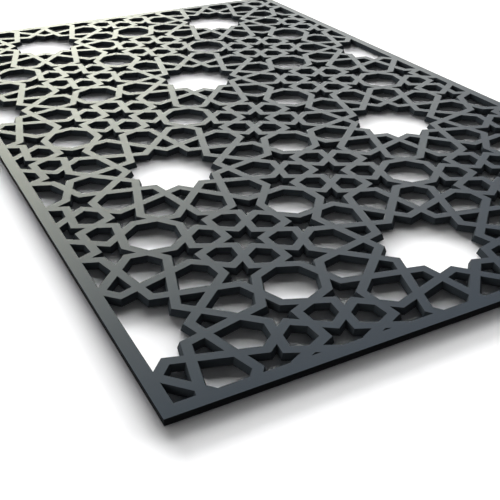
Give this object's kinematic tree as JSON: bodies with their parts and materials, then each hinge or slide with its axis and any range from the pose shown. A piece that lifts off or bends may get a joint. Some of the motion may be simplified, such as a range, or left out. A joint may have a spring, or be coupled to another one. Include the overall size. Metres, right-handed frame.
{
  "type": "jali screen panel",
  "caption": "Flat pierced screen panel with a twelve-point star lattice inside a plain border, held from behind by blind threaded inserts and kept off the wall by rubber buffers.",
  "frame": {"origin": "middle of the plane that the back buffers rest on", "axes": "+X across the panel, +Y along its length, +Z out of its face"},
  "size_m": [1.22, 1.938, 0.014],
  "materials": {
    "lacquered_board": "satin slate lacquer on fibreboard, cut walls darkened by the laser",
    "brass": "turned, uncoated",
    "buffer_rubber": "matt"
  },
  "bodies": {
    "root": {"jali_sheet": "lacquered_board", "threaded_inserts": "brass", "rubber_buffers": "buffer_rubber"}
  },
  "joints": []
}
